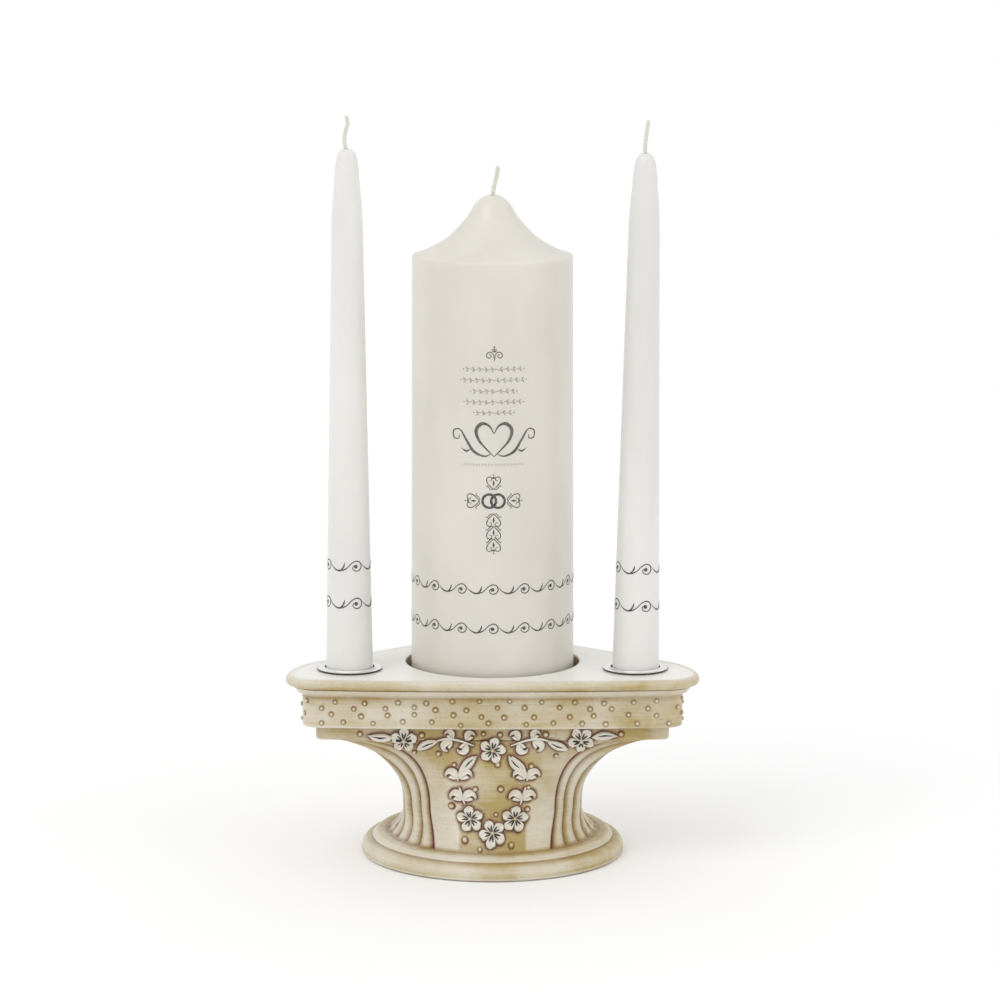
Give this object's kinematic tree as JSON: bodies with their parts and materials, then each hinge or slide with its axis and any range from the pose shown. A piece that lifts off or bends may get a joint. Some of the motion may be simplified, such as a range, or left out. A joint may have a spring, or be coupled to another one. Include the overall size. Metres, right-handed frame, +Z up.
{
  "type": "unity candle set",
  "caption": "Cast stand with a fluted round pedestal and a shield-shaped tray, holding a centre pillar candle and taper candles in lift-out metal cups.",
  "frame": {"origin": "centre of the round foot on the surface it rests on, which is also the pillar candle's axis", "axes": "+Z up along the pillar candle, +X to the right across the two tapers, -Y towards the front with the relief garland"},
  "size_m": [0.1916, 0.1236, 0.349],
  "materials": {
    "ivory_resin": "satin",
    "felt": "matte",
    "silver_plate": "polished",
    "pillar_wax": "satin",
    "taper_wax": "satin",
    "cotton_wick": "matte",
    "tin_plate": "satin"
  },
  "bodies": {
    "stand": {"base_felt": "felt", "pedestal_casting": "ivory_resin", "tray_casting": "ivory_resin"},
    "pillar": {"pillar_wax": "pillar_wax", "pillar_wick": "cotton_wick", "pillar_wick_tab": "tin_plate"},
    "left_cup": {"left_taper_cup": "silver_plate"},
    "right_cup": {"right_taper_cup": "silver_plate"},
    "left_taper": {"left_taper_wax": "taper_wax", "left_taper_wick": "cotton_wick"},
    "right_taper": {"right_taper_wax": "taper_wax", "right_taper_wick": "cotton_wick"}
  },
  "joints": [
    {"name": "pillar_lift", "type": "slide", "parent": "stand", "child": "pillar", "axis": [0, 0, 1], "range_m": [0, 0.06]},
    {"name": "left_cup_lift", "type": "slide", "parent": "stand", "child": "left_cup", "axis": [0, 0, 1], "range_m": [0, 0.03]},
    {"name": "right_cup_lift", "type": "slide", "parent": "stand", "child": "right_cup", "axis": [0, 0, 1], "range_m": [0, 0.03]},
    {"name": "left_taper_lift", "type": "slide", "parent": "left_cup", "child": "left_taper", "axis": [0, 0, 1], "range_m": [0, 0.05]},
    {"name": "right_taper_lift", "type": "slide", "parent": "right_cup", "child": "right_taper", "axis": [0.0131, 0, 0.9999], "range_m": [0, 0.05]}
  ]
}
